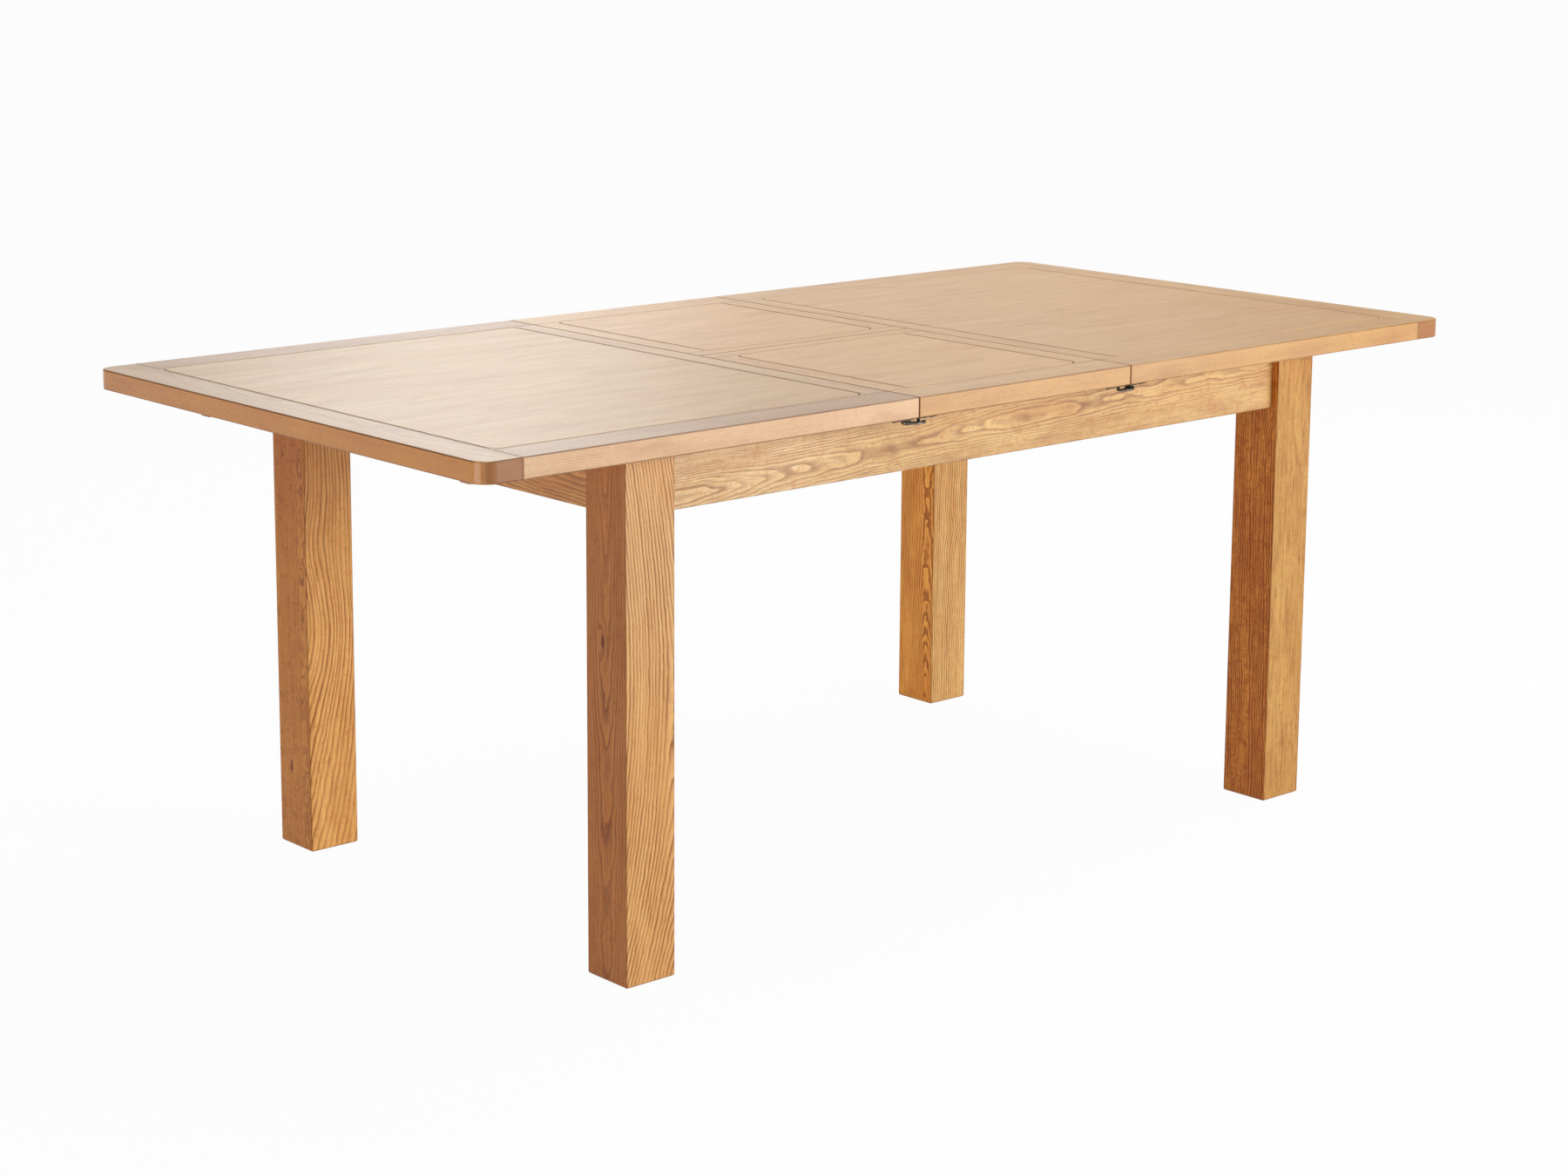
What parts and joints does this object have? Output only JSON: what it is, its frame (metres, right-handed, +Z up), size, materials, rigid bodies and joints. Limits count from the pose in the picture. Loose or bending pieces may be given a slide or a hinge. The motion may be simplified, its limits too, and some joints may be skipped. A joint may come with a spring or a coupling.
{
  "type": "extending dining table",
  "caption": "Oak extending dining table with square legs, an apron frame, sliding end tops and a loose folding centre leaf held by swinging locks.",
  "frame": {"origin": "on the floor, under the centre of the table", "axes": "+X along the table to the right, +Y to its back, +Z up"},
  "size_m": [1.96, 0.9642, 0.77],
  "materials": {
    "oak_panel": "satin lacquered oak boards with fine grain along the table",
    "oak_border": "satin lacquered oak edging, end grain shows at the ends",
    "oak_frame": "satin lacquered oak with strong grain",
    "runner_wood": "planed and waxed, unstained",
    "bright_steel": "bright nickel plate",
    "plate_steel": "dull plated sheet",
    "zinc_steel": "zinc plated",
    "brass": "satin brass"
  },
  "bodies": {
    "base": {"leg_back_right": "oak_frame", "leg_back_left": "oak_frame", "leg_front_right": "oak_frame", "leg_front_left": "oak_frame", "apron_back": "oak_frame", "apron_front": "oak_frame", "apron_left": "oak_frame", "apron_right": "oak_frame", "corner_block_back_right": "runner_wood", "corner_block_back_left": "runner_wood", "corner_block_front_right": "runner_wood", "corner_block_front_left": "runner_wood", "guide_rail_back": "runner_wood", "guide_rail_front": "runner_wood", "leaf_bearer_left": "runner_wood", "leaf_bearer_right": "runner_wood", "hanger_bolts": "zinc_steel", "bolt_nuts": "zinc_steel", "frame_screws": "zinc_steel"},
    "left_top": {"left_panel": "oak_panel", "left_end_board": "oak_border", "left_lipping": "oak_border", "left_back_rail": "oak_border", "left_front_rail": "oak_border", "left_back_runner": "runner_wood", "left_front_runner": "runner_wood", "left_runner_screws": "zinc_steel", "left_lock_plates": "plate_steel", "left_lock_screws": "zinc_steel"},
    "right_top": {"right_panel": "oak_panel", "right_end_board": "oak_border", "right_lipping": "oak_border", "right_back_rail": "oak_border", "right_front_rail": "oak_border", "right_back_runner": "runner_wood", "right_front_runner": "runner_wood", "right_runner_screws": "zinc_steel", "right_lock_plates": "plate_steel", "right_lock_screws": "zinc_steel"},
    "leaf_back": {"leaf_back_panel": "oak_panel", "leaf_back_rail": "oak_border", "leaf_back_seam_rail": "oak_border", "leaf_back_left_lipping": "oak_border", "leaf_back_right_lipping": "oak_border", "leaf_back_hinge_barrels": "brass", "leaf_back_keepers": "plate_steel", "leaf_back_keeper_screws": "zinc_steel"},
    "leaf_front": {"leaf_front_panel": "oak_panel", "leaf_front_rail": "oak_border", "leaf_front_seam_rail": "oak_border", "leaf_front_left_lipping": "oak_border", "leaf_front_right_lipping": "oak_border", "leaf_front_hinge_barrels": "brass", "leaf_front_keepers": "plate_steel", "leaf_front_keeper_screws": "zinc_steel"},
    "hinge_links": {"hinge_links": "brass"},
    "lever_back_right": {"lock_lever_back_right": "bright_steel"},
    "lever_back_left": {"lock_lever_back_left": "bright_steel"},
    "lever_front_right": {"lock_lever_front_right": "bright_steel"},
    "lever_front_left": {"lock_lever_front_left": "bright_steel"}
  },
  "joints": [
    {"name": "left_top_slide", "type": "slide", "parent": "base", "child": "left_top", "axis": [-1, 0, 0], "range_m": [0, 0.04]},
    {"name": "right_top_slide", "type": "slide", "parent": "base", "child": "right_top", "axis": [1, 0, 0], "range_m": [0, 0.04]},
    {"name": "leaf_lift", "type": "slide", "parent": "base", "child": "leaf_back", "axis": [0, 0, 1], "range_m": [0, 0.12]},
    {"name": "leaf_fold", "type": "hinge", "parent": "leaf_back", "child": "leaf_front", "pos_m": [0, 0, 0.7702], "axis": [-1, 0, 0], "range_deg": [0, 180]},
    {"name": "hinge_link_turn", "type": "hinge", "parent": "leaf_back", "child": "hinge_links", "pos_m": [0, 0, 0.7702], "axis": [-1, 0, 0], "range_deg": [0, 90]},
    {"name": "lock_back_right_swing", "type": "hinge", "parent": "right_top", "child": "lever_back_right", "pos_m": [0.232, 0.466, 0.733], "axis": [0, 0, 1], "range_deg": [-142, 18]},
    {"name": "lock_back_left_swing", "type": "hinge", "parent": "left_top", "child": "lever_back_left", "pos_m": [-0.232, 0.466, 0.733], "axis": [0, 0, -1], "range_deg": [-142, 18]},
    {"name": "lock_front_right_swing", "type": "hinge", "parent": "right_top", "child": "lever_front_right", "pos_m": [0.232, -0.466, 0.733], "axis": [0, 0, -1], "range_deg": [-142, 18]},
    {"name": "lock_front_left_swing", "type": "hinge", "parent": "left_top", "child": "lever_front_left", "pos_m": [-0.232, -0.466, 0.733], "axis": [0, 0, 1], "range_deg": [-142, 18]}
  ],
  "couplings": [
    {"joint": "hinge_link_turn", "follows": "leaf_fold", "ratio": 0.5}
  ]
}
